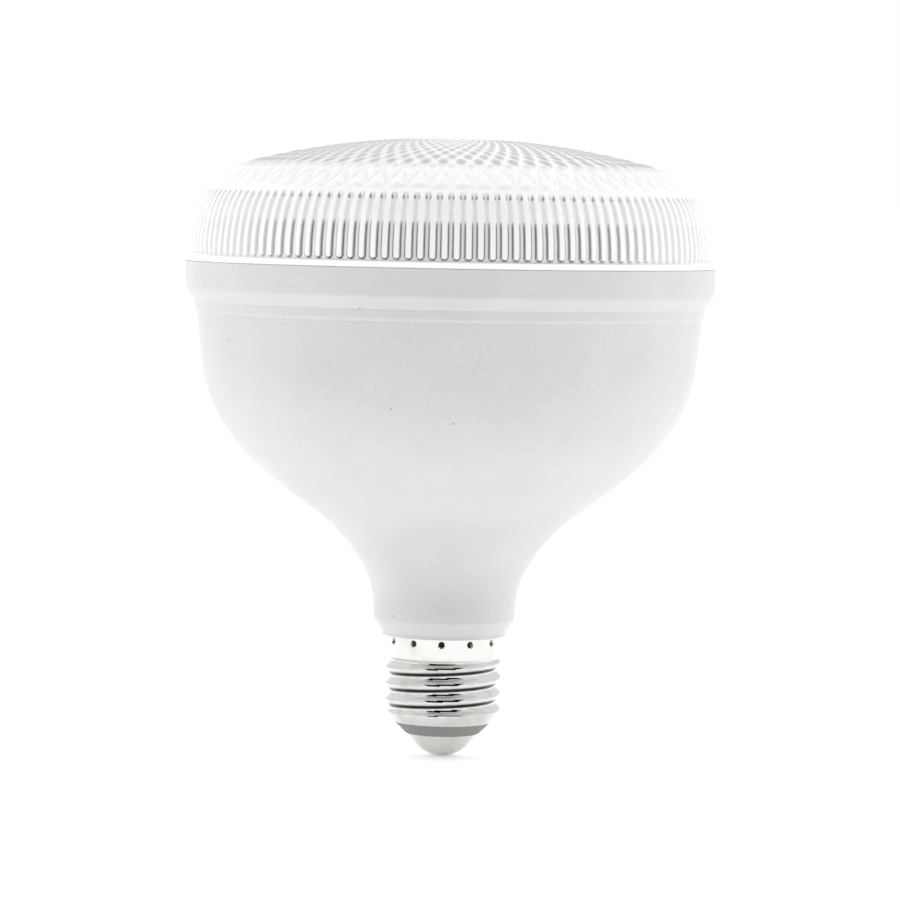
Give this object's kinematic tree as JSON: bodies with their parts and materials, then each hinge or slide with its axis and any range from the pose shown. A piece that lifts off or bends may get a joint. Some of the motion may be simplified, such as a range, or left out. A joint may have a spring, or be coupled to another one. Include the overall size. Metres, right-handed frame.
{
  "type": "led torch bulb",
  "caption": "LED torch bulb: clear prismatic lens, white moulded housing with a collar and flared neck, and an E27 screw cap.",
  "frame": {"origin": "tip of the centre contact, on the bulb's axis", "axes": "+Z along the bulb's axis, from the cap towards the lens; +X and +Y are square to it, and one punch mark of the cap lies near -Y"},
  "size_m": [0.1196, 0.1196, 0.1397],
  "materials": {
    "lens_clear": "clear moulded polycarbonate",
    "housing_white": "fine matte moulded",
    "cup_aluminium": "pressed",
    "board_white": "white solder mask on aluminium",
    "led_frame": "moulded",
    "phosphor_yellow": "silicone fill",
    "screw_steel": "zinc plated",
    "board_green": "solder mask on glass epoxy",
    "can_black": "sleeved can",
    "ferrite": "ground ferrite",
    "component_black": "moulded epoxy",
    "winding_tape": "polyester tape",
    "film_yellow": "moulded box",
    "varistor_blue": "dipped epoxy",
    "resistor_green": "dipped",
    "wire_brown": "insulation",
    "wire_blue": "insulation",
    "wire_red": "insulation",
    "wire_black": "insulation",
    "cap_nickel": "bright nickel plating on brass",
    "insulator_grey": "moulded",
    "contact_nickel": "nickel plating on brass"
  },
  "bodies": {
    "root": {"lens_cover": "lens_clear", "housing": "housing_white", "heat_sink_cup": "cup_aluminium", "led_board": "board_white", "led_packages": "led_frame", "led_phosphors": "phosphor_yellow", "board_screws": "screw_steel", "driver_board": "board_green", "bulk_capacitor": "can_black", "output_capacitor": "can_black", "transformer_core": "ferrite", "transformer_bobbin": "component_black", "transformer_winding": "winding_tape", "film_capacitor": "film_yellow", "varistor": "varistor_blue", "fuse_resistor": "resistor_green", "bridge_rectifier": "component_black", "driver_ic": "component_black", "power_transistor": "component_black", "output_diode": "component_black", "chip_resistors": "component_black", "live_wire": "wire_brown", "neutral_wire": "wire_blue", "output_wire_positive": "wire_red", "output_wire_negative": "wire_black", "cap_shell": "cap_nickel", "cap_insulator": "insulator_grey", "centre_contact": "contact_nickel"}
  },
  "joints": []
}
